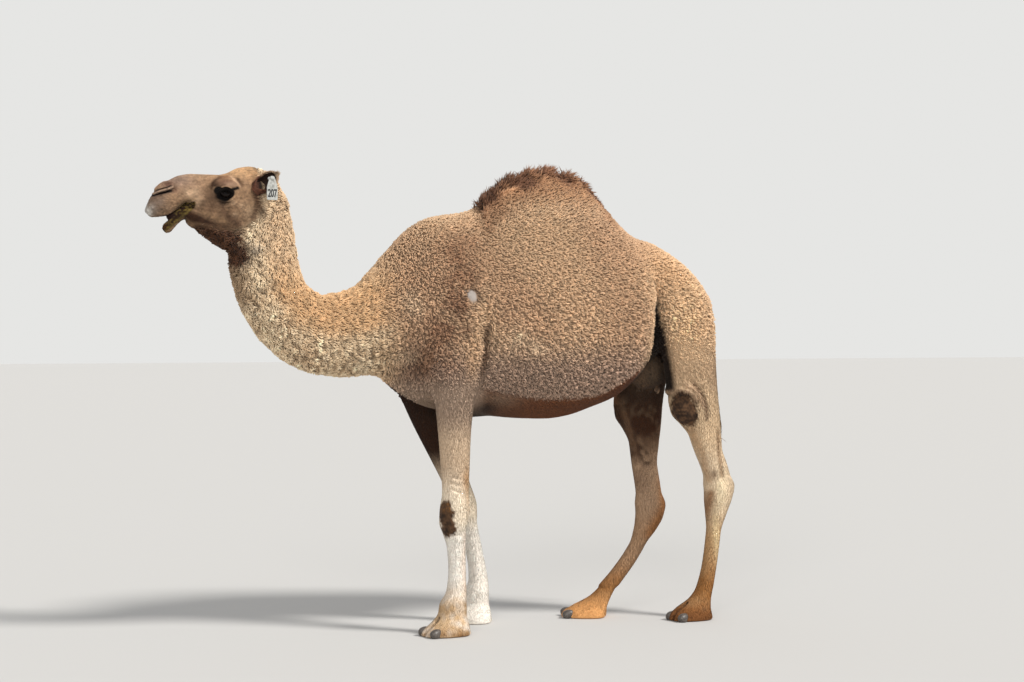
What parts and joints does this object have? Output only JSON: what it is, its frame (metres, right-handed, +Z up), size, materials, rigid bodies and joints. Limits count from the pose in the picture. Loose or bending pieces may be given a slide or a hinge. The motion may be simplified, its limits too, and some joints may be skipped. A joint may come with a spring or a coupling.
{
  "type": "dromedary camel, life-size still model",
  "caption": "Life-size standing dromedary camel with a curly fleece, single hump, open drooping lip and an ear tag, feet flat on the floor.",
  "frame": {"origin": "middle of the animal's plan, on the floor its soles rest on", "axes": "+X towards the tail, +Y towards the animal's right side, +Z up; the left side faces -Y"},
  "size_m": [2.691, 0.644, 2.0628],
  "materials": {
    "fleece": "matte sandy tan curly fleece",
    "hump_fleece": "matte darker brown long fleece",
    "short_coat": "matte short flat hair",
    "pale_coat": "matte short cream hair",
    "pad_skin": "rough dark bare skin",
    "horn": "dull grey-black horn",
    "eye": "wet dark gloss",
    "tag": "satin white"
  },
  "bodies": {
    "root": {"head": "short_coat", "jaw": "short_coat", "eye_left": "eye", "eye_right": "eye", "ear_left": "short_coat", "ear_right": "short_coat", "ear_tag": "tag", "neck_upper": "fleece", "neck_middle": "fleece", "neck_lower": "fleece", "chest": "fleece", "barrel": "fleece", "rump": "fleece", "hump": "hump_fleece", "chest_pad": "pad_skin", "udder": "short_coat", "tail": "short_coat", "tail_tuft": "hump_fleece", "fore_left_upper": "short_coat", "fore_left_middle": "short_coat", "fore_left_lower": "short_coat", "fore_left_foot": "pale_coat", "fore_left_nail_left": "horn", "fore_left_nail_right": "horn", "fore_right_upper": "short_coat", "fore_right_middle": "short_coat", "fore_right_lower": "short_coat", "fore_right_foot": "pale_coat", "fore_right_nail_left": "horn", "fore_right_nail_right": "horn", "hind_left_upper": "short_coat", "hind_left_middle": "short_coat", "hind_left_lower": "short_coat", "hind_left_foot": "pale_coat", "hind_left_nail_left": "horn", "hind_left_nail_right": "horn", "hind_right_upper": "short_coat", "hind_right_middle": "short_coat", "hind_right_lower": "short_coat", "hind_right_foot": "pale_coat", "hind_right_nail_left": "horn", "hind_right_nail_right": "horn"}
  },
  "joints": []
}
